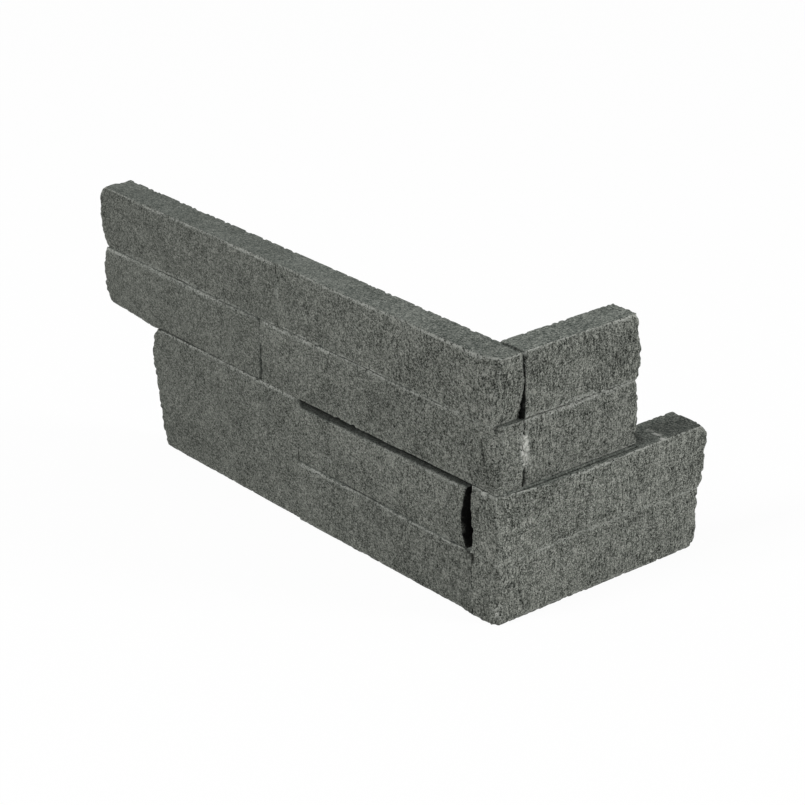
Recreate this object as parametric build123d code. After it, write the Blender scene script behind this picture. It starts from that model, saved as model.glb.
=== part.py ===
"""Stacked stone corner: split-faced stone strips glued into an interlocking L-shaped corner.

Millimetres, +Z up. The long leg runs along X with its split face towards -Y. The short leg runs
along Y with its split face towards +X. The building's outside corner fits inside the L.
Every strip is drawn in a flat local frame (X along the leg, measured from the outside corner,
Y into the wall from the line of the split faces) and short-leg strips are turned into place.
"""
from build123d import *
import math
import os

# Height of the panel and of its courses; the top course takes what the others leave
PANEL_HEIGHT = 152.0
SECOND_COURSE = 38.0
THIRD_COURSE = 38.5
BOTTOM_COURSE = 37.5

# Thickness from the sawn back to the line of the split faces
LONG_DEPTH = 18.8
SHORT_DEPTH = 18.6

# Furthest reach of each end stone from the outside corner
TOP_LONG_REACH = 360.5
SECOND_LONG_REACH = 358.5
DOUBLE_REACH = 311.5
TOP_SHORT_REACH = 100.8
SECOND_SHORT_REACH = 99.3
THIRD_SHORT_REACH = 146.8
BOTTOM_SHORT_REACH = 145.0

# How far the long corner stones run past the corner, level with the bellied short faces
TOP_CORNER_REACH = 1.2
SECOND_CORNER_REACH = 1.0

# Upright joints in the long leg, measured from the outside corner
TOP_JOINT = 185.0
SECOND_JOINT = 202.3
LOWER_JOINT = 169.3

# Open joints and gaps that the real panel shows
CORNER_JOINT = 1.5
CORNER_GAP = 4.0
SLOT_LEFT = 5.2
SLOT_RIGHT = 2.8

# How far each split face stands in front of the face line
PROUD_TOP = 0.3
PROUD_SECOND = 0.9
PROUD_LOWER = 0.3
PROUD_BOTTOM = 1.1
PROUD_CORNER = 4.6
CORNER_LEAN = 1.1
THIRD_RETURN = 1.6
BOTTOM_RETURN = 0.8

# Relief of a split face: a belly across the height and two slow waves that fade at the beds
BELLY = 0.9
WAVE = 0.7
WAVE_LENGTH = 104.0
RIPPLE = 0.3
RIPPLE_LENGTH = 47.0
BED_FADE = 0.6
GRID_STEP = 8.0

# Bruised arrises along the beds, and the waste taken off in front of the split face
ARRIS = 0.45
FOOT_ARRIS = 1.7
ARRIS_DRIFT = 0.006
WASTE = 14.0

# Heights, as shares of the stone, at which a broken end is drawn, and each end's setbacks there
BREAK_SHARES = (0.0, 0.12, 0.5, 0.88, 1.0)
SAWN = (0.0, 0.0, 0.0, 0.0, 0.0)
TOP_LEFT_END = (4.5, 2.0, 0.0, 1.3, 4.5)
TOP_CORNER_END = (2.6, 0.6, 0.0, 0.2, 0.6)
TOP_SHORT_END = (3.2, 0.6, 0.9, 2.3, 2.4)
SECOND_LEFT_END = (5.0, 3.0, 0.2, 1.7, 2.2)
SECOND_CORNER_END = (0.8, 0.2, 0.0, 0.1, 0.4)
SECOND_SHORT_END = (0.3, 0.3, 0.2, 0.6, 1.5)
DOUBLE_END = (11.0, 7.6, 3.6, 0.6, 5.2)
THIRD_GAP_END = (0.8, 1.6, 2.5, 0.6, 0.0)
THIRD_RETURN_END = (0.2, 1.4, 0.5, 0.9, 1.6)
THIRD_SHORT_END = (3.0, 1.8, 0.9, 0.4, 2.6)
BOTTOM_RETURN_END = (0.4, 0.1, 0.0, 0.3, 0.8)
BOTTOM_SHORT_END = (5.5, 2.2, 1.4, 0.3, 0.4)

# Chips: how far back or how high each one starts
TOP_CORNER_SPALL = 18.0
TOP_CORNER_FLAKE = 10.8
TOP_SHORT_CHIP = 2.9
SECOND_JOINT_CHIP = 0.9
SECOND_LEFT_CHIP = 3.4
SECOND_CORNER_CHIP = 3.0
BOTTOM_JOINT_CHIP = 5.5
THIRD_CORNER_CHIP = 0.9
THIRD_TOP_FLAKE = 27.0
THIRD_END_CHIP = 4.0
BOTTOM_CORNER_CHIP = 2.4

# Bead of adhesive squeezed into the upright joint of the second course
BEAD_HEIGHT = 18.0
BEAD_RISE = 12.0
BEAD_DEPTH = 6.0

BOTTOM_BED = BOTTOM_COURSE
THIRD_BED = BOTTOM_BED + THIRD_COURSE
SECOND_BED = THIRD_BED + SECOND_COURSE
TOP_BED = PANEL_HEIGHT
SHORT_START = LONG_DEPTH + CORNER_JOINT


def end_points(position, inward, breaks, bottom, top):
    """Points up a strip's end; breaks are the setbacks from its furthest reach."""
    points = []
    for share, setback in zip(BREAK_SHARES, breaks):
        points.append((position + inward * setback, bottom + share * (top - bottom)))
    return points


def end_line(points, breaks):
    """A sawn end is one straight line and a broken end is a smooth curve."""
    if breaks == SAWN:
        return Line(points[0], points[-1])
    return Spline(*points)


def blank(start, end, bottom, top_left, top_right, start_breaks, end_breaks, depth):
    """Sawn blank of one strip, drawn on its back and grown forward past the split face."""
    left = end_points(start, 1, start_breaks, bottom, top_left)
    right = end_points(end, -1, end_breaks, bottom, top_right)
    outline = [
        Line(left[0], right[0]),
        end_line(right, end_breaks),
        Line(right[-1], left[-1]),
        end_line(left, start_breaks),
    ]
    back = Plane.XZ.offset(-depth)
    return extrude(back * make_face(outline), amount=depth + WASTE)


def split_waste(start, end, bottom, top, proud, phase, lean):
    """The rock that splits away in front of a strip, with the undulating split as its back."""
    columns = max(6, round((end - start) / GRID_STEP))
    rows = max(5, round((top - bottom) / GRID_STEP))
    grid = []
    for i in range(-1, columns + 2):
        along = start + (end - start) * i / columns
        line = []
        for j in range(-1, rows + 2):
            rise = 2 * j / rows - 1
            wave = WAVE * math.sin(2 * math.pi * along / WAVE_LENGTH + phase + 0.5 * rise)
            wave += RIPPLE * math.sin(2 * math.pi * along / RIPPLE_LENGTH + 1.7 * phase - 1.2 * rise)
            forward = proud + lean * rise + BELLY * (1 - rise * rise) + wave * (1 - BED_FADE * rise * rise)
            line.append((along, -forward, bottom + (top - bottom) * j / rows))
        grid.append(line)
    split_face = Face.make_surface_from_array_of_points(grid)
    return extrude(split_face, amount=3 * WASTE, dir=(0, -1, 0))


def spall(at, towards):
    """Everything beyond a plane through a point, to knock a chip off a strip."""
    beyond = Plane(origin=at, z_dir=towards)
    size = 2 * TOP_LONG_REACH
    return beyond * Box(size, size, 4 * WASTE, align=(Align.CENTER, Align.CENTER, Align.MIN))


def strip(start, end, bottom, top, proud, phase, depth=LONG_DEPTH, top_left=None,
          lean=0.0, foot=ARRIS, start_breaks=SAWN, end_breaks=SAWN, chips=()):
    """One stone: sawn blank, split face, bruised bed arrises and its own chips."""
    top_left = top if top_left is None else top_left
    stone = blank(start, end, bottom, top_left, top, start_breaks, end_breaks, depth)
    stone -= split_waste(start, end, bottom, max(top, top_left), proud, phase, lean)
    middle = (start + end) / 2
    drift = ARRIS_DRIFT * math.sin(phase)
    slope = (top - top_left) / (end - start)
    stone -= spall((middle, ARRIS - proud - lean, (top + top_left) / 2), (drift - slope, -1, 1))
    stone -= spall((middle, foot - proud + lean, bottom), (-drift, -1, -1))
    for at, towards in chips:
        stone -= spall(at, towards)
    return stone.solids().sort_by(SortBy.VOLUME)[-1]


def on_short_leg(stone):
    """Turn a strip from the local frame on to the short leg."""
    return Rot(0, 0, 90) * stone


def top_course():
    """Two long stones run to the corner and a short one butts behind the second of them."""
    left = strip(-TOP_LONG_REACH, -TOP_JOINT, SECOND_BED, TOP_BED, PROUD_TOP, 0.4,
                 start_breaks=TOP_LEFT_END)
    corner_chips = [
        ((TOP_CORNER_REACH, LONG_DEPTH / 2, SECOND_BED + TOP_CORNER_SPALL), (1, 0.05, -0.22)),
        ((-TOP_CORNER_FLAKE, -PROUD_TOP, TOP_BED), (1, -2.3, 0.7)),
    ]
    corner = strip(-TOP_JOINT, TOP_CORNER_REACH, SECOND_BED, TOP_BED, PROUD_TOP, 2.1,
                   end_breaks=TOP_CORNER_END, chips=corner_chips)
    short_chip = ((TOP_SHORT_REACH - TOP_SHORT_CHIP, SHORT_DEPTH, TOP_BED), (1, 0.8, 0.6))
    short = strip(SHORT_START, TOP_SHORT_REACH, SECOND_BED, TOP_BED, PROUD_TOP, 1.2,
                  depth=SHORT_DEPTH, end_breaks=TOP_SHORT_END, chips=[short_chip])
    return {"top_long_left": left, "top_long_corner": corner, "top_short": on_short_leg(short)}


def second_course():
    """As the top course, with its upright joint stepped along so the joints do not line up."""
    joint_chip = ((-SECOND_JOINT - SECOND_JOINT_CHIP, 0, (THIRD_BED + SECOND_BED) / 2), (1, -0.25, -0.06))
    under_chip = ((-SECOND_LONG_REACH, 0, THIRD_BED + SECOND_LEFT_CHIP), (-0.07, -0.5, -1))
    left = strip(-SECOND_LONG_REACH, -SECOND_JOINT, THIRD_BED, SECOND_BED, PROUD_SECOND, 3.3,
                 start_breaks=SECOND_LEFT_END, chips=[joint_chip, under_chip])
    corner_chip = ((SECOND_CORNER_REACH, SECOND_CORNER_CHIP, (THIRD_BED + SECOND_BED) / 2), (1, -0.9, 0.14))
    corner = strip(-SECOND_JOINT, SECOND_CORNER_REACH, THIRD_BED, SECOND_BED, PROUD_LOWER, 5.0,
                   end_breaks=SECOND_CORNER_END, chips=[corner_chip])
    short = strip(SHORT_START, SECOND_SHORT_REACH, THIRD_BED, SECOND_BED, PROUD_LOWER, 4.1,
                  depth=SHORT_DEPTH, end_breaks=SECOND_SHORT_END)
    return {"second_long_left": left, "second_long_corner": corner,
            "second_short": on_short_leg(short)}


def lower_long():
    """A double-height stone at the left, and a thin and a thick strip between it and the corner."""
    double = strip(-DOUBLE_REACH, -LOWER_JOINT, 0, THIRD_BED, PROUD_LOWER, 0.9,
                   foot=FOOT_ARRIS, start_breaks=DOUBLE_END)
    third = strip(-LOWER_JOINT, -SHORT_DEPTH - CORNER_GAP, BOTTOM_BED, THIRD_BED - SLOT_RIGHT,
                  PROUD_LOWER, 2.8, top_left=THIRD_BED - SLOT_LEFT, end_breaks=THIRD_GAP_END)
    joint_chip = ((-SHORT_DEPTH - BOTTOM_JOINT_CHIP, 0, 0), (0.25, -1, -0.6))
    bottom = strip(-LOWER_JOINT, -SHORT_DEPTH, 0, BOTTOM_BED, PROUD_BOTTOM, 4.6,
                   foot=FOOT_ARRIS, chips=[joint_chip])
    return {"double_height": double, "third_long": third, "bottom_long": bottom}


def lower_short():
    """The two lower short stones, which run through to the outside corner."""
    third_middle = (BOTTOM_BED + THIRD_BED) / 2
    third_chips = [
        ((THIRD_CORNER_CHIP, -PROUD_CORNER, third_middle), (-1, -1, 0.05)),
        ((THIRD_TOP_FLAKE, -PROUD_CORNER - CORNER_LEAN, THIRD_BED), (-0.18, -1, 0.12)),
        ((THIRD_SHORT_REACH - THIRD_END_CHIP, -PROUD_CORNER, THIRD_BED), (1, -0.5, 0.9)),
    ]
    third = strip(-THIRD_RETURN, THIRD_SHORT_REACH, BOTTOM_BED, THIRD_BED, PROUD_CORNER, 3.7,
                  depth=SHORT_DEPTH, lean=CORNER_LEAN, start_breaks=THIRD_RETURN_END,
                  end_breaks=THIRD_SHORT_END, chips=third_chips)
    bottom_chip = ((BOTTOM_CORNER_CHIP, -PROUD_BOTTOM, BOTTOM_BED / 2), (-1, -1, -0.08))
    bottom = strip(-BOTTOM_RETURN, BOTTOM_SHORT_REACH, 0, BOTTOM_BED, PROUD_BOTTOM, 5.6,
                   depth=SHORT_DEPTH, foot=FOOT_ARRIS, start_breaks=BOTTOM_RETURN_END,
                   end_breaks=BOTTOM_SHORT_END, chips=[bottom_chip])
    return {"third_short_corner": on_short_leg(third), "bottom_short_corner": on_short_leg(bottom)}


def adhesive_bead():
    """Bead that fills the upright joint between the second course's corner and short stones."""
    across = LONG_DEPTH + CORNER_JOINT / 2
    height = THIRD_BED + BEAD_RISE + BEAD_HEIGHT / 2
    middle = (SECOND_CORNER_REACH - BEAD_DEPTH / 2, across, height)
    bead = Pos(middle) * Box(BEAD_DEPTH, CORNER_JOINT, BEAD_HEIGHT)
    return fillet(bead.edges().filter_by(Axis.Y), BEAD_DEPTH / 3)


def panel():
    """All the pieces, with the middle of the underside of their common box at the origin."""
    pieces = {**top_course(), **second_course(), **lower_long(), **lower_short()}
    pieces["joint_adhesive"] = adhesive_bead()
    box = Compound(list(pieces.values())).bounding_box()
    middle = box.center()
    shift = Pos(-middle.X, -middle.Y, -box.min.Z)
    return {name: shift * piece for name, piece in pieces.items()}


os.makedirs("parts", exist_ok=True)
for name, piece in panel().items():
    export_step(piece, "parts/" + name + ".step")
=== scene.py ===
import math
import random

import bmesh
import bpy
from mathutils import Euler, Matrix, Vector, kdtree, noise


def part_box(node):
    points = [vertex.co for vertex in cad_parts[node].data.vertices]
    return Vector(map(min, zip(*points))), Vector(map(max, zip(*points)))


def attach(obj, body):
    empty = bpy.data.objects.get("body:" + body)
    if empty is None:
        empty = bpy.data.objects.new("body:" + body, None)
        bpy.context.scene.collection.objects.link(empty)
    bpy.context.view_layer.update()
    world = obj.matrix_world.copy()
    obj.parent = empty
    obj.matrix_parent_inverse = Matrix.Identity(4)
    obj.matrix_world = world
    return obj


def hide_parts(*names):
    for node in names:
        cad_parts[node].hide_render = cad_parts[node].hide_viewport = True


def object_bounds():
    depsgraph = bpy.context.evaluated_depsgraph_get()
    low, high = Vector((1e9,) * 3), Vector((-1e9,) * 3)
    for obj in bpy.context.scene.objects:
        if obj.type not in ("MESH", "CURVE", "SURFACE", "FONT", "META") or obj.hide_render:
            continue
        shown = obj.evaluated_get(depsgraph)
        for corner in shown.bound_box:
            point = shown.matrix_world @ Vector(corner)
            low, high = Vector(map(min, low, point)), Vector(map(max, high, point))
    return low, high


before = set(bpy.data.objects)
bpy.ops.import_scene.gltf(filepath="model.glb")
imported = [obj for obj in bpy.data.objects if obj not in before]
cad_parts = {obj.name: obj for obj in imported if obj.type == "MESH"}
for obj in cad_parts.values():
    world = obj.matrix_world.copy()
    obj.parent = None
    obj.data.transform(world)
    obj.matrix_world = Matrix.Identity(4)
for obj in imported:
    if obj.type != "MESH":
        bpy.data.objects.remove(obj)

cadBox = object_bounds()
scene = bpy.context.scene
mm = 0.001
longDepth = 18.8 * mm   # long leg, face line to sawn back
shortDepth = 18.6 * mm  # short leg, the same
outsideCorner = Vector((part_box("top_short")[0].x + shortDepth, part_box("double_height")[1].y - longDepth, 0))
print("frame loaded, outside corner at", outsideCorner)


# camera, standing where the photograph was taken from
cameraSettings = {
    "place": Vector((990.95, -849.94, 703.24)) * mm,  # from the foot of the outside corner
    "azimuth": 51.44,
    "elevation": 23.71,
    "roll": -1.1,
    "focalPixels": 2805.62,  # over an image 805 pixels wide
    "imageWidth": 805,
}


def makeCamera(settings):
    data = bpy.data.cameras.new("photoCamera")
    data.sensor_width = 36
    data.lens = settings["focalPixels"] / settings["imageWidth"] * data.sensor_width
    data.clip_end = 20
    camera = bpy.data.objects.new("photoCamera", data)
    scene.collection.objects.link(camera)
    camera.location = outsideCorner + settings["place"]
    aim = Euler((math.radians(90 - settings["elevation"]), 0, math.radians(settings["azimuth"])))
    roll = Matrix.Rotation(math.radians(settings["roll"]), 3, "Z")
    camera.rotation_euler = (aim.to_matrix() @ roll).to_euler()
    scene.camera = camera


makeCamera(cameraSettings)
print("camera set")


# materials
def toLinear(hexColour):
    channels = [int(hexColour[i:i + 2], 16) / 255 for i in (1, 3, 5)]
    return [c / 12.92 if c <= 0.04045 else ((c + 0.055) / 1.055) ** 2.4 for c in channels] + [1]


def addNode(tree, kind, settings=None, links=None):  # one node, what it is set to and what feeds it
    node = tree.nodes.new(kind)
    for key, value in (settings or {}).items():
        if isinstance(key, str) and hasattr(node, key):
            setattr(node, key, value)
        else:
            node.inputs[key].default_value = value
    for key, source in (links or {}).items():
        tree.links.new(source, node.inputs[key])
    return node


def newMaterial(name, roughness):
    material = bpy.data.materials.new(name)
    material.use_nodes = True
    tree = material.node_tree
    tree.nodes.clear()
    shader = addNode(tree, "ShaderNodeBsdfPrincipled", {"Roughness": roughness, "Specular IOR Level": 0.15})
    addNode(tree, "ShaderNodeOutputMaterial", None, {"Surface": shader.outputs[0]})
    return material, tree, shader


# tone carries each stone's level, its cracks, and the painted shade and light
stoneValues = ("sawn", "pale", "tone", "texture", "comb")  # set at each point of a stone, read by its material

stoneLook = {
    "dark": "#1f211e",
    "body": "#666963",
    "light": "#9a9c95",
    "bruiseAndHighlight": "#90938d",   # crushed arrises, and the painted highlight on the upper ones
    "dust": "#c2c3bd",     # adhesive rubbed into the stone at the corner joint, and the palest spots
    "dustFrom": 0.6,       # paleness from which bruises turn into dust
    "crush": (3.0, 0.2),   # how sharply a grain turns pale, and its head start
    "sawn": "#656e69",     # beds and backs left by the saw, a little cooler
    "smear": 0.25,         # how far the saw flattens the tone
    "grain": 0.78,         # mm across one grain
    "speckle": 0.64,
    "mottle": 5.0,
    "blotch": 26.0,
    "rib": (1.3, 5.0),     # mm wide and tall, the upright combing of the split
    "weights": {"grain": 0.62, "speckle": 1.25, "rib": 1.1, "mottle": 0.4, "blotch": 0.4},  # shares in the tone
    "bump": 0.8,           # strength
    "splitBump": 0.8,      # mm of height on split faces
    "sawnBump": 0.15,      # and on sawn ones
    "grainBump": 0.5,      # height of grains and ribs beside the speckle's
    "ribBump": 1.6,
    "sawMark": 2.2,        # mm between marks, drawn coarser than the real ones so that they show
    "bladeAway": (60, -210, 260),  # mm to the middle of the arcs that the blade left
}


def makeStone(look):
    # dark fine-grained sandstone, split in front and sawn behind: dull, speckled, pale where edges are crushed, and
    # paler on the upper edges as a painted highlight
    material, tree, shader = newMaterial("split dark sandstone", 0.92)
    place = addNode(tree, "ShaderNodeTexCoord").outputs["Object"]
    sawn, pale, tone, texture, comb = [
        addNode(tree, "ShaderNodeAttribute", {"attribute_name": name}).outputs["Fac"] for name in stoneValues]
    grains = addNode(tree, "ShaderNodeTexVoronoi", {"Scale": 1000 / look["grain"]}, {"Vector": place})
    grainTone, grainChance = addNode(tree, "ShaderNodeSeparateColor", None, {0: grains.outputs["Color"]}).outputs[:2]
    parts = {"grain": grainTone}
    for name, detail in (("speckle", 1.0), ("mottle", 1.0), ("blotch", 3.0)):
        parts[name] = addNode(tree, "ShaderNodeTexNoise", {"Scale": 1000 / look[name], "Detail": detail},
                              {"Vector": place}).outputs[0]
    wide, tall = [1000 / size for size in look["rib"]]
    ribPlace = addNode(tree, "ShaderNodeMapping", {"Scale": (wide, wide, tall)}, {"Vector": place}).outputs[0]
    ribNoise = addNode(tree, "ShaderNodeTexNoise", {"Scale": 1.0, "Detail": 1.0}, {"Vector": ribPlace}).outputs[0]
    parts["rib"] = addNode(tree, "ShaderNodeMix", {"data_type": "FLOAT", 2: 0.5}, {0: comb, 3: ribNoise}).outputs[0]
    # grains, speckle, ribs and blotches add up round zero and spread the tone about the body colour
    spread = None
    for name, weight in look["weights"].items():
        centred = addNode(tree, "ShaderNodeMath", {"operation": "SUBTRACT", 1: 0.5}, {0: parts[name]}).outputs[0]
        links = {0: centred} if spread is None else {0: centred, 2: spread}
        spread = addNode(tree, "ShaderNodeMath", {"operation": "MULTIPLY_ADD", 1: weight, 2: 0.0}, links).outputs[0]
    shade = addNode(tree, "ShaderNodeMath", {"operation": "MULTIPLY_ADD", 2: 0.5}, {0: spread, 1: texture}).outputs[0]
    ramp = addNode(tree, "ShaderNodeValToRGB", None, {0: shade})
    ramp.color_ramp.elements[0].color = toLinear(look["dark"])
    ramp.color_ramp.elements[1].color = toLinear(look["light"])
    ramp.color_ramp.elements.new(0.5).color = toLinear(look["body"])
    # the saw smears the grain, so beds and backs are flatter in tone
    smear = addNode(tree, "ShaderNodeMath", {"operation": "MULTIPLY", 1: look["smear"]}, {0: sawn}).outputs[0]
    flat = addNode(tree, "ShaderNodeMix", {"data_type": "RGBA", 7: toLinear(look["sawn"])},
                   {0: smear, 6: ramp.outputs[0]}).outputs[2]
    # crushed places, and the painted highlight on the upper arrises, turn pale grain by grain
    sharp, start = look["crush"]
    crushedAndLit = addNode(tree, "ShaderNodeMath", {"operation": "SUBTRACT"}, {0: pale, 1: grainChance}).outputs[0]
    crush = addNode(tree, "ShaderNodeMath", {"operation": "MULTIPLY_ADD", 1: sharp, 2: start, "use_clamp": True},
                    {0: crushedAndLit}).outputs[0]
    dusty = addNode(tree, "ShaderNodeMapRange", {"From Min": look["dustFrom"], "From Max": 1.0}, {0: pale}).outputs[0]
    powder = addNode(tree, "ShaderNodeMix",
                     {"data_type": "RGBA", 6: toLinear(look["bruiseAndHighlight"]), 7: toLinear(look["dust"])},
                     {0: dusty}).outputs[2]
    withPale = addNode(tree, "ShaderNodeMix", {"data_type": "RGBA"}, {0: crush, 6: flat, 7: powder}).outputs[2]
    # the tone darkens for cracks and painted shade, and lightens for painted light
    toned = addNode(tree, "ShaderNodeMix", {"data_type": "RGBA", "blend_type": "MULTIPLY", 0: 1.0},
                    {6: withPale, 7: tone}).outputs[2]
    tree.links.new(toned, shader.inputs["Base Color"])
    # grit and ribs stand up on the split faces, blade marks cross the sawn ones
    away = Vector(look["bladeAway"]) * mm
    bladePlace = addNode(tree, "ShaderNodeMapping", {"Location": -(outsideCorner + away)}, {"Vector": place})
    blade = addNode(tree, "ShaderNodeTexWave",
                    {"wave_type": "RINGS", "rings_direction": "SPHERICAL",
                     "Distortion": 3.0, "Detail": 2.0, "Detail Scale": 0.6,
                     "Scale": 2 * math.pi / 20 * 1000 / look["sawMark"]},  # the wave node has 20 radians to a unit
                    {"Vector": bladePlace.outputs[0]}).outputs[1]
    grit = addNode(tree, "ShaderNodeMath", {"operation": "MULTIPLY_ADD", 1: look["grainBump"]},
                   {0: grainTone, 2: parts["speckle"]}).outputs[0]
    combed = addNode(tree, "ShaderNodeMath", {"operation": "MULTIPLY_ADD", 1: look["ribBump"]},
                     {0: parts["rib"], 2: grit}).outputs[0]
    split = addNode(tree, "ShaderNodeMath", {"operation": "MULTIPLY"}, {0: combed, 1: texture}).outputs[0]
    height = addNode(tree, "ShaderNodeMix", {"data_type": "FLOAT"}, {0: sawn, 2: split, 3: blade}).outputs[0]
    depth = addNode(tree, "ShaderNodeMath",
                    {"operation": "MULTIPLY_ADD", 1: (look["sawnBump"] - look["splitBump"]) * mm,
                     2: look["splitBump"] * mm}, {0: sawn}).outputs[0]
    bump = addNode(tree, "ShaderNodeBump", {"Strength": look["bump"]}, {"Height": height, "Distance": depth})
    tree.links.new(bump.outputs[0], shader.inputs["Normal"])
    return material


adhesiveLook = {
    "pale": "#bfc0ba",
    "grey": "#7c7e78",
    "mix": (0.38, 0.62),  # where on the noise the grey ends and the pale begins
    "lump": 1.6,          # mm across one lump
    "height": 0.4,        # mm
}


def makeAdhesive(look):
    # cured stone adhesive with stone dust in it: pale, chalky, no shine
    material, tree, shader = newMaterial("cured stone adhesive", 0.8)
    place = addNode(tree, "ShaderNodeTexCoord").outputs["Object"]
    lump = addNode(tree, "ShaderNodeTexNoise", {"Scale": 1000 / look["lump"], "Detail": 4.0},
                   {"Vector": place}).outputs[0]
    ramp = addNode(tree, "ShaderNodeValToRGB", None, {0: lump})
    for stop, position, colour in zip(ramp.color_ramp.elements, look["mix"], (look["grey"], look["pale"])):
        stop.position = position
        stop.color = toLinear(colour)
    tree.links.new(ramp.outputs[0], shader.inputs["Base Color"])
    bump = addNode(tree, "ShaderNodeBump", {"Strength": 0.6, "Distance": look["height"] * mm}, {"Height": lump})
    tree.links.new(bump.outputs[0], shader.inputs["Normal"])
    return material


stoneMaterial = makeStone(stoneLook)
adhesiveMaterial = makeAdhesive(adhesiveLook)
print("materials made")


# stones
front = {"long": Vector((0, -1, 0)), "short": Vector((1, 0, 0))}
left, right, near, far, up = [Vector(way) for way in ((-1, 0, 0), (1, 0, 0), (0, -1, 0), (0, 1, 0), (0, 0, 1))]
arrisAngle = 0.6  # radians, edges sharper than this are arrises

stoneShape = {                # what all the stones share, in millimetres
    "grid": 0.75,             # mesh spacing
    "splitTurn": (0.35, 0.75),  # a face turned this much to the front begins to be split, and is wholly split
    "jointLine": 0.03,        # beds stand back this far
    "waver": (9.0, 0.04),     # size and depth of the unevenness of sawn faces
    "lump": (14.0, 0.30),     # the same for the lumps of a split face
    "rib": (2.3, 8.0, 0.26),  # width, height and depth
    "grit": (1.9, 0.17),
    "endRough": (4.5, 0.5),   # ragged ends that were broken by hand
    "combPatch": 30.0,        # the combing comes and goes over this length
    "dentSize": (4, 9),       # hollows left by flakes, least and most
    "dentBite": (0.2, 0.5),
    "nick": (2.6, 0.65),      # spacing and deepest bite of the small nicks along an arris
    "nickReach": (1.4, 0.2),  # from the arris to where nicks end, and to where they are full
    "footHigh": 4,            # the lower arris counts as far up as this
    "chipStep": 260,          # one chip for so many points along the arrises
    "chipSize": (1.2, 2.6),
    "chipBite": 0.3,          # share of its size
    "bared": (0.5, 0.1),      # chips deeper than the first lose the saw marks, below the second they keep them
    "tightReach": (4.0, 1.5),  # from a tight joint to where it has no effect, and its full effect
    "tightPush": 0.2,         # end faces go this far into the neighbour there
    "crackDeep": 0.7,         # groove under a dark line
    "crackDark": 0.65,        # share of the tone that a crack takes
    "otherSide": 8,           # cracks leave out faces farther off than this
    "crackWander": (2.0, 0.3),  # size and amount of its wandering
    "paintedShadeRim": (3.0, 0.2),   # the same for the rims of the patches of painted shade
    "spotRim": (1.7, 0.5),    # and of pale ones
    "paleArrisReach": (1.4, 0.4),  # from the arris to where crushing and its painted highlight end, and to where they are full
    "paleArrisMost": 0.72,        # palest that crushing and the painted highlight make an arris
    "paleArrisPatch": 6.0,        # it comes and goes over this length
    "bedReach": (3, 1.5),     # arrises this near to a bed are crushed fully, uprights less
    "uprightShare": 0.3,
    "footShare": (0.2, 0.5),  # paleness left on the lower arris, which gets no painted highlight from the light above: stones on the floor, others
}
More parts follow.
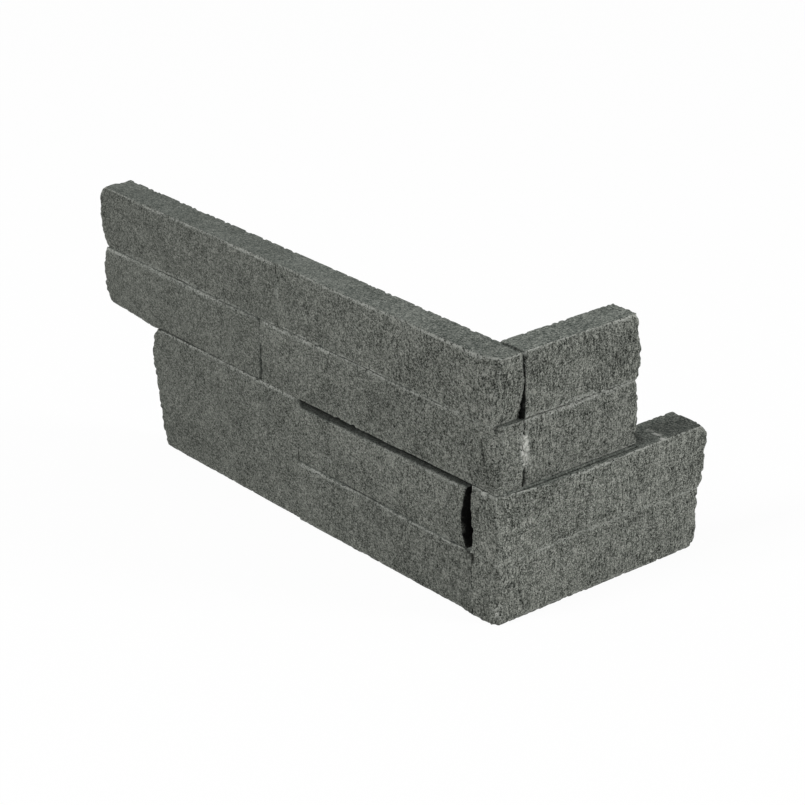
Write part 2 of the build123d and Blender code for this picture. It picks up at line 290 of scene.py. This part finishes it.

# every place is in millimetres from the foot of the outside corner
# broken: ends that were split and not sawn
# dents: number of hollows left by flakes
# wear: how pale the arrises are, from crushing and from a painted highlight on the upper ones, foot: how nicked the
# lower one is
# texture, comb and level: strength of the grain, of the upright ribs and the tone, from the left end to the right
# tight: planes where a stone meets its neighbour without a line, as axis, place and lowest height
# flush: start, end and face of the stretch brought level with the neighbour
# lift: start, end and rise of the top where the slot closes
# reach: how much further the near end goes into the corner joint
# spots: pale patches, as middle, half sizes and strength
# painted shade: patches of painted shade in gaps, joints, the slot and on the ledge, on faces turned one way, then the
# same (below 0 lightens, as painted light)
# cracks: dark lines, as start, end and width
stones = {
    "top_long_left": {
        "leg": "long", "broken": [left], "seed": 3, "dents": 3, "wearAndHighlight": 1.4,
        "texture": (0.85, 0.85), "comb": (0.6, 0.3), "level": (0.92, 0.97),
        "tight": [(0, -185, 0)], "flush": (-200, -187, -0.6),
        "spots": [((-185, -1, 136), (2.2, 3, 19), 0.5), ((-290, -1, 115.2), (95, 4, 2.2), 0.5)]},
    "top_long_corner": {
        "leg": "long", "broken": [right], "seed": 8, "dents": 5, "wearAndHighlight": 1.3,
        "texture": (0.85, 1.2), "comb": (0.1, 1.1), "level": (1.05, 0.98),
        "tight": [(0, -185, 0)],
        "spots": [((-185, -1, 136), (2.2, 3, 19), 0.5), ((-5, -1, 144), (5, 3, 7), 0.3)],
        "cracks": [((-14, 18.8, 152), (0.5, 18.6, 152), 1.5), ((1, 18.6, 152), (1, 19.2, 139), 1.2)]},
    "top_short": {
        "leg": "short", "broken": [far], "seed": 14, "dents": 4, "wearAndHighlight": 1.5, "reach": 0.7,
        "texture": (1.1, 1.1), "comb": (0.9, 0.9), "level": (0.99, 0.99),
        "spots": [((1.5, 50, 114.9), (5, 60, 2.4), 0.62)],
        "cracks": [((-14, 19.4, 152), (0.5, 19.2, 152), 1.5), ((1, 19.6, 152), (1, 19.8, 139), 1.1)],
        # painted shade on the near end inside the corner joint, and the top made lighter
        "paintedShades": [(near, (-6, 20.5, 128), (9, 1.6, 26), 0.9), (up, (-9, 60, 152), (40, 60, 4), -0.16)]},
    "second_long_left": {
        "leg": "long", "broken": [left], "seed": 21, "dents": 3, "wearAndHighlight": 0.9, "foot": 0.8,
        "texture": (0.7, 0.85), "comb": (0.2, 0.25), "level": (1.0, 1.0),
        "tight": [(0, -202.3, 99)], "flush": (-214, -204, -0.6),
        "spots": [((-290, -1, 113), (95, 3, 2.4), 0.6)],
        # painted shade on the right end inside the joint to the corner stone
        "paintedShades": [(right, (-202.3, 9, 87), (2, 12, 18), 0.9)],
        "cracks": [((-252, -1, 114), (-202, -1, 114), 0.5), ((-306, -1, 76), (-203, -1, 76), 1.0)]},
    "second_long_corner": {
        "leg": "long", "broken": [right], "seed": 27, "dents": 5, "wearAndHighlight": 0.9,
        "texture": (0.88, 1.15), "comb": (0.25, 0.7), "level": (1.04, 0.97),
        "tight": [(0, -202.3, 99)],
        "spots": [((1, 18.2, 98), (3, 3.2, 14), 1.0), ((0, 12, 80), (3, 8, 2), 0.4)],
        "cracks": [((-11.3, -1, 104.6), (-8.2, -1, 93.2), 1.2), ((-202, -1, 114), (-165, -1, 114), 0.5),
                   ((-202, -1, 98), (-202, -1, 77), 0.8), ((1, 19, 85), (1, 18.6, 77), 1.2)],
        # painted shade on the right end at the foot of the corner joint
        "paintedShades": [(right, (1, 18.8, 80), (4, 1.1, 7), 0.85)]},
    "second_short": {
        "leg": "short", "broken": [far], "seed": 33, "dents": 3, "wearAndHighlight": 1.2, "reach": 0.9,
        "texture": (1.1, 1.1), "comb": (1.0, 1.0), "level": (0.97, 0.91),
        "spots": [((1, 20.8, 97), (3, 3.2, 15), 1.0), ((1.5, 50, 113.2), (5, 60, 2.8), 0.75)],
        "cracks": [((1, 19.8, 86), (1, 20.2, 77), 1.5)],
        # painted shade on the near end inside the corner joint, and at the foot of that joint
        "paintedShades": [(near, (-6, 20.5, 96), (9, 1.6, 26), 0.9), (right, (1.5, 19.8, 80), (4, 1.5, 7), 0.85)]},
    "double_height": {
        "leg": "long", "broken": [left], "seed": 41, "dents": 4, "wearAndHighlight": 1.0, "foot": 1.0,
        "texture": (0.8, 0.92), "comb": (0.2, 0.3), "level": (0.98, 1.05),
        "tight": [(0, -169.3, 0)],
        "spots": [((-255, -1, 74.6), (60, 4, 1.5), 0.5)],
        "cracks": [((-306, -1, 76.2), (-204, -1, 76.2), 0.8)]},
    "third_long": {
        "leg": "long", "broken": [right], "seed": 48, "dents": 3, "wearAndHighlight": 0.5,
        "texture": (0.94, 1.05), "comb": (0.3, 0.5), "level": (1.06, 1.06),
        "tight": [(0, -169.3, 0)], "lift": (-165.5, -169.3, 3.8),
        "spots": [((-142, -1, 48.5), (9, 4, 2.6), 0.5)],
        # painted shadow in the gap at the right end, and on the top inside the slot
        "paintedShades": [(right, (-23, 9.5, 57), (8, 16, 36), 0.97), (up, (-93, 4.4, 72), (400, 4.6, 14), 0.62)]},
    "third_short_corner": {
        "leg": "short", "broken": [near, far], "seed": 55, "dents": 5, "wearAndHighlight": 1.0,
        "texture": (1.1, 1.1), "comb": (0.9, 0.9), "level": (1.08, 1.08),
        "spots": [((-9, -1, 74.6), (5, 3, 3.4), 0.85), ((5, 70, 38.3), (6, 80, 2.0), 0.55),
                  # a pale wedge across the ledge top
                  ((-8, 117.5, 76), (4.5, 2.2, 1), 0.85), ((-2, 116.5, 76), (5, 3.2, 1), 0.9),
                  ((4, 114.5, 76), (4.5, 4.5, 1.6), 0.9)],
        "cracks": [((1.6, 2, 76), (2.3, 20, 76), 0.7), ((2.3, 20, 76), (2.3, 98, 76), 0.7)],
        # painted light on the ledge strip at the foot of the stones above, and painted shadow on the ledge beside and
        # behind them
        "paintedShades": [(up, (1, 50, 76), (6, 56, 2), -0.15), (up, (-9, 104, 76), (12, 6, 2), 0.4),
                   (up, (-9, 132, 76), (30, 16, 2), 0.2)]},
    "bottom_long": {
        "leg": "long", "broken": [], "seed": 62, "dents": 3, "wearAndHighlight": 1.3, "foot": 1.0,
        "texture": (0.93, 1.0), "comb": (0.3, 0.7), "level": (1.05, 0.94),
        "tight": [(0, -169.3, 0), (0, -18.6, 12)], "flush": (-32, -20, -0.9),
        "cracks": [((-23, -1, 37.5), (-19, -1, 35.5), 2.0)]},
    "bottom_short_corner": {
        "leg": "short", "broken": [near, far], "seed": 70, "dents": 5, "wearAndHighlight": 1.2, "foot": 1.0,
        "texture": (1.1, 1.1), "comb": (0.9, 0.9), "level": (1.06, 1.04),
        "tight": [(0, -18.6, 12)],
        "spots": [((1.2, 0.3, 7), (4, 4, 10), 1.0), ((3, 70, 36.8), (6, 80, 2.0), 0.55)],
        "cracks": [((-18.4, -1, 36.5), (-17.8, -1, 32), 1.4)]},
}


def smoothStep(low, high, value):
    t = min(1.0, max(0.0, (value - low) / (high - low)))
    return t * t * (3 - 2 * t)


def turned(normal, way):  # whether a face looks one way, within 60 degrees
    return normal.dot(way) > 0.5


def newPiece(name, mesh, material):
    piece = bpy.data.objects.new(name, mesh)
    scene.collection.objects.link(piece)
    mesh.materials.clear()
    mesh.materials.append(material)
    return piece


def denseCopy(node, spacing):  # the CAD piece with an even, fine mesh that keeps its arrises, and points along those
    bm = bmesh.new()
    bm.from_mesh(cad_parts[node].data)
    bmesh.ops.remove_doubles(bm, verts=bm.verts, dist=1e-6)
    arris = []
    for edge in bm.edges:
        if edge.calc_face_angle(0) > arrisAngle:
            a, b = edge.verts[0].co, edge.verts[1].co
            steps = max(1, int((b - a).length / (0.5 * mm)))  # a point every half millimetre
            arris += [a.lerp(b, i / steps) for i in range(steps + 1)]
    coarse = bpy.data.meshes.new(node + "_coarse")
    bm.to_mesh(coarse)
    bm.free()
    block = bpy.data.objects.new(node + "_block", coarse)
    scene.collection.objects.link(block)
    remesh = block.modifiers.new("even", "REMESH")
    remesh.mode = "SHARP"
    remesh.octree_depth = 8
    remesh.scale = min(0.99, max(block.dimensions) / (2 ** remesh.octree_depth * spacing))
    dense = bpy.data.meshes.new_from_object(block.evaluated_get(bpy.context.evaluated_depsgraph_get()))
    bpy.data.objects.remove(block)
    bpy.data.meshes.remove(coarse)
    dense.shade_smooth()
    dense.set_sharp_from_angle(angle=arrisAngle)
    return dense, arris


def findScars(stone, shape, low, high, rnd):  # shallow hollows where flakes came off the split face
    scars = []
    for i in range(stone["dents"]):
        spot = Vector([rnd.uniform(low[k], high[k]) for k in range(3)])
        if stone["leg"] == "long":
            spot.y = low.y
        else:
            spot.x = high.x
        scars.append((spot, rnd.uniform(*shape["dentSize"]), rnd.uniform(*shape["dentBite"])))
    return scars


def findChips(arris, shape, rnd):  # bites out of the arrises
    chips = []
    for i in range(int(len(arris) / shape["chipStep"])):
        size = rnd.uniform(*shape["chipSize"])
        chips.append(((rnd.choice(arris) - outsideCorner) / mm, size, size * shape["chipBite"]))
    return chips


def hollow(point, scars):  # how deep a point lies in round scars, in millimetres
    deep = 0.0
    for middle, radius, bite in scars:
        away = (point - middle).length
        if away < radius:
            deep += bite * (1 - (away / radius) ** 2)
    return deep


def apart(point, middle, half):  # distance from a patch's middle, 1 at its rim
    return Vector([(point[k] - middle[k]) / half[k] for k in range(3)]).length


def distanceToLine(point, start, end):
    along = end - start
    share = min(1.0, max(0.0, (point - start).dot(along) / along.length_squared))
    return (point - start - along * share).length


# in the functions below p is a point in millimetres, q the same point in the stone's own noise, n the face's direction
def snugness(p, stone, shape):  # 1 where a stone meets its neighbour without a line
    snug = 0.0
    for along, place, lowest in stone.get("tight", []):
        if p.z > lowest:
            snug = max(snug, smoothStep(*shape["tightReach"], abs(p[along] - place)))
    return snug


def splitRelief(q, n, comb, stone, shape):  # lumps, ribs and grit, in millimetres
    lumpSize, lumpDeep = shape["lump"]
    ribWide, ribTall, ribDeep = shape["rib"]
    gritSize, gritDeep = shape["grit"]
    endSize, endDeep = shape["endRough"]
    lump = noise.fractal(q / lumpSize, 1.0, 2.0, 2) * lumpDeep
    rib = noise.noise(Vector((q.x / ribWide, q.y / ribWide, q.z / ribTall))) * ribDeep * (0.2 + comb)
    grit = noise.noise(q / gritSize) * gritDeep
    if any(turned(n, way) for way in stone["broken"]):
        grit += noise.noise(q / endSize) * endDeep
    return lump + rib + grit


def crackCover(p, q, n, crack, shape):  # 1 along the middle of a crack, 0 beside it
    start, end, width = Vector(crack[0]), Vector(crack[1]), crack[2]
    facing = max(range(3), key=lambda k: abs(n[k]))
    if abs(p[facing] - start[facing]) > shape["otherSide"]:
        return 0.0
    onFace = p.copy()
    onFace[facing] = start[facing]
    wanderSize, wander = shape["crackWander"]
    return smoothStep(width, 0.4 * width, distanceToLine(onFace, start, end) + wander * noise.noise(q / wanderSize))


def paintedShadeLeft(p, q, n, patch, shape):  # share of the tone that a patch of painted shade leaves, more than all where it is painted light
    way, middle, half, strength = patch
    if not turned(n, way):
        return 1.0
    rimSize, ragged = shape["paintedShadeRim"]
    return 1 - strength * smoothStep(1.0, 0.7, apart(p, middle, half) + ragged * noise.noise(q / rimSize))


def paleness(p, q, crushedAndLit, low, high, upperArris, stone, shape):  # crushed arrises with a painted highlight on the upper ones, and pale spots
    foot = shape["footShare"][0 if low.z < 1 else 1]
    # the upper arrises are paler, as a painted highlight from the light above
    crushedAndLit *= foot + (1 - foot) * upperArris
    bedFar, bedClose = shape["bedReach"]
    byBed = max(smoothStep(high.z - bedFar, high.z - bedClose, p.z), smoothStep(low.z + bedFar, low.z + bedClose, p.z))
    crushedAndLit *= shape["uprightShare"] + (1 - shape["uprightShare"]) * byBed
    patchy = smoothStep(-1.0, 0.0, noise.noise(q / shape["paleArrisPatch"]))
    pale = min(shape["paleArrisMost"], crushedAndLit * stone["wearAndHighlight"] * patchy)
    rimSize, ragged = shape["spotRim"]
    for middle, half, strength in stone.get("spots", []):
        pale = max(pale, strength * smoothStep(1.0, 0.3, apart(p, middle, half) + ragged * noise.noise(q / rimSize)))
    return pale


def fitToNeighbours(vert, p, q, n, stone):  # ends that reach into a joint, lie level with the next stone or rise
    if "reach" in stone and turned(n, near):
        vert.co.y -= stone["reach"] * (1 + 0.5 * noise.noise(q / 5.0)) * mm
    if "flush" in stone and turned(n, near):
        start, end, face = stone["flush"]
        vert.co.y += (face - p.y) * smoothStep(start, end, p.x) * mm
    if "lift" in stone and turned(n, up):
        start, end, rise = stone["lift"]
        vert.co.z += rise * smoothStep(start, end, p.x) * mm


def makeStonePiece(node, stone, shape):
    dense, arris = denseCopy(node, shape["grid"] * mm)
    edges = kdtree.KDTree(len(arris))
    for i, point in enumerate(arris):
        edges.insert(point, i)
    edges.balance()
    low, high = [(corner - outsideCorner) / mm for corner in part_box(node)]
    rnd = random.Random(stone["seed"])
    offset = Vector([rnd.uniform(-500, 500) for k in range(3)])  # no two stones share their noise
    scars = findScars(stone, shape, low, high, rnd)
    chips = findChips(arris, shape, rnd)
    rough = [front[stone["leg"]]] + stone["broken"]
    axis = 0 if stone["leg"] == "long" else 1
    waverSize, waverDeep = shape["waver"]
    nickSize, nickDeep = shape["nick"]
    values = {name: [0.0] * len(dense.vertices) for name in stoneValues}
    normals = [v.normal.copy() for v in dense.vertices]
    for vert in dense.vertices:
        n = normals[vert.index]
        p = (vert.co - outsideCorner) / mm
        q = p + offset
        roughShare = max(smoothStep(*shape["splitTurn"], n.dot(way)) for way in rough)
        edge = edges.find(vert.co)[2] / mm
        snug = snugness(p, stone, shape)
        upperArris = smoothStep(low.z, low.z + shape["footHigh"], p.z)
        chipped = hollow(p, chips) * (1 - snug)
        share = (p[axis] - low[axis]) / (high[axis] - low[axis])
        texture, comb, tone = [
            stone[k][0] + (stone[k][1] - stone[k][0]) * share for k in ("texture", "comb", "level")]
        comb *= 0.55 + 0.45 * smoothStep(-0.35, 0.3, noise.noise(q / shape["combPatch"]))
        # how far the point moves along its face's direction, in millimetres
        move = -(1 - roughShare) * (shape["jointLine"] + noise.noise(q / waverSize) * waverDeep)
        if snug > 0 and abs(n.x) > 0.7:  # the end face of a tight joint
            move = shape["tightPush"]
        if roughShare > 0:
            move += roughShare * (splitRelief(q, n, comb, stone, shape) - hollow(p, scars)) * (1 - snug)
        nicked = smoothStep(*shape["nickReach"], edge) * (1 - snug) * max(stone.get("foot", 0.3), upperArris)
        if nicked > 0:
            move -= nicked * smoothStep(0.0, 0.6, noise.noise(q / nickSize)) * nickDeep
        move -= chipped
        for crack in stone.get("cracks", []):
            cover = crackCover(p, q, n, crack, shape)
            move -= shape["crackDeep"] * cover
            tone *= 1 - shape["crackDark"] * cover
        # painted shade in gaps, joints, the slot and on the ledge; a strength below 0 paints light
        for patch in stone.get("paintedShades", []):
            tone *= paintedShadeLeft(p, q, n, patch, shape)
        vert.co += n * move * mm
        fitToNeighbours(vert, p, q, n, stone)
        crushedAndLit = smoothStep(*shape["paleArrisReach"], edge) * smoothStep(0.02, 0.3, roughShare) * (1 - snug)
        values["sawn"][vert.index] = (1 - roughShare) * smoothStep(*shape["bared"], chipped)
        values["pale"][vert.index] = paleness(p, q, crushedAndLit, low, high, upperArris, stone, shape)
        values["tone"][vert.index] = tone
        values["texture"][vert.index] = texture
        values["comb"][vert.index] = comb
    for name, numbers in values.items():
        dense.attributes.new(name, "FLOAT", "POINT").data.foreach_set("value", numbers)
    dense.update()
    piece = newPiece(node + "_stone", dense, stoneMaterial)
    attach(piece, "root")
    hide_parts(node)
    return len(dense.polygons) * 2


total = 0
for node, stone in stones.items():
    total += makeStonePiece(node, stone, stoneShape)
print("stones made, triangles", total)


# adhesive squeezed out of the corner joint
beadShape = {           # in millimetres
    "grid": 0.3,        # mesh spacing
    "lump": 2.6,        # size of the lumps
    "rim": (1.6, 0.4),  # from the front to where the rim begins, and to where it is full
    "proud": 0.5,       # how far the rim stands out
    "spread": 1.3,      # how far it spreads over the stones on both sides
    "ragged": 1.6,      # how far its ends wander up and down
}


def makeBead(shape):
    dense, arris = denseCopy("joint_adhesive", shape["grid"] * mm)
    low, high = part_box("joint_adhesive")
    middle = (low + high) / 2
    rimFrom, rimFull = shape["rim"]
    for vert in dense.vertices:
        p = (vert.co - outsideCorner) / mm
        lump = noise.noise(p / shape["lump"])
        outer = smoothStep(high.x - rimFrom * mm, high.x - rimFull * mm, vert.co.x)
        side = (vert.co.y - middle.y) / (high.y - middle.y)
        vert.co.x += outer * shape["proud"] * (0.6 + lump) * mm
        vert.co.y += outer * side * shape["spread"] * smoothStep(-0.2, 0.6, lump) * mm
        vert.co.z += noise.noise((p + Vector((40, 0, 0))) / shape["lump"]) * shape["ragged"] * mm
    dense.update()
    bead = newPiece("corner_adhesive_bead", dense, adhesiveMaterial)
    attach(bead, "root")
    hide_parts("joint_adhesive")


makeBead(beadShape)
print("adhesive made")


# floor and light
stageLook = {
    "floor": "#c9c9c7",  # what lights the stone from below
    "seen": "#ffffff",   # what the camera sees
    "side": 3.0,         # metres from the middle to the rim
    "whiteShare": 0.95,  # the rest takes the stone's shadow
}


def makeStage(look):
    bm = bmesh.new()
    bmesh.ops.create_grid(bm, x_segments=1, y_segments=1, size=look["side"])
    mesh = bpy.data.meshes.new("pale_floor")
    bm.to_mesh(mesh)
    bm.free()
    material = bpy.data.materials.new("pale studio floor")
    material.use_nodes = True
    tree = material.node_tree
    tree.nodes.clear()
    rays = addNode(tree, "ShaderNodeLightPath").outputs
    seen = addNode(tree, "ShaderNodeMath", {"operation": "MAXIMUM"},
                   {0: rays["Is Camera Ray"], 1: rays["Is Glossy Ray"]}).outputs[0]
    colour = addNode(tree, "ShaderNodeMix",
                     {"data_type": "RGBA", 6: toLinear(look["floor"]), 7: toLinear(look["seen"])}, {0: seen})
    paper = addNode(tree, "ShaderNodeBsdfDiffuse", None, {"Color": colour.outputs[2]})
    white = addNode(tree, "ShaderNodeEmission", {"Strength": 1.0})
    share = addNode(tree, "ShaderNodeMath", {"operation": "MULTIPLY", 1: look["whiteShare"]}, {0: seen})
    mix = addNode(tree, "ShaderNodeMixShader", None, {0: share.outputs[0], 1: paper.outputs[0], 2: white.outputs[0]})
    addNode(tree, "ShaderNodeOutputMaterial", None, {"Surface": mix.outputs[0]})
    floor = newPiece("pale_floor", mesh, material)


lamps = {  # direction it shines from, metres away, metres wide, level on a face turned to it
    "frontLamp": {"from": (-0.06, -0.73, 0.68), "away": 4.0, "size": 1.1, "level": 0.55},
    "sideLamp": {"from": (0.81, 0.53, 0.24), "away": 4.0, "size": 1.1, "level": 0.70},
}
skyLevel = 0.36


def makeLight(lamps, level):
    for name, lamp in lamps.items():
        data = bpy.data.lights.new(name, "AREA")
        data.size = lamp["size"]
        data.energy = lamp["level"] * math.pi ** 2 * lamp["away"] ** 2
        light = bpy.data.objects.new(name, data)
        scene.collection.objects.link(light)
        way = Vector(lamp["from"]).normalized()
        light.location = way * lamp["away"] + Vector((0, 0, cadBox[1][2] / 2))
        light.rotation_euler = way.to_track_quat("Z", "Y").to_euler()
    world = bpy.data.worlds.new("studio")
    scene.world = world
    world.use_nodes = True
    tree = world.node_tree
    tree.nodes.clear()
    rays = addNode(tree, "ShaderNodeLightPath")
    soft = addNode(tree, "ShaderNodeBackground", {"Color": (1, 1, 1, 1), "Strength": level})
    white = addNode(tree, "ShaderNodeBackground", {"Color": (1, 1, 1, 1), "Strength": 1.0})
    mix = addNode(tree, "ShaderNodeMixShader", None,
                  {0: rays.outputs["Is Camera Ray"], 1: soft.outputs[0], 2: white.outputs[0]})
    addNode(tree, "ShaderNodeOutputWorld", None, {"Surface": mix.outputs[0]})


makeStage(stageLook)
makeLight(lamps, skyLevel)
scene.view_settings.view_transform = "Standard"
print("stage and light set")
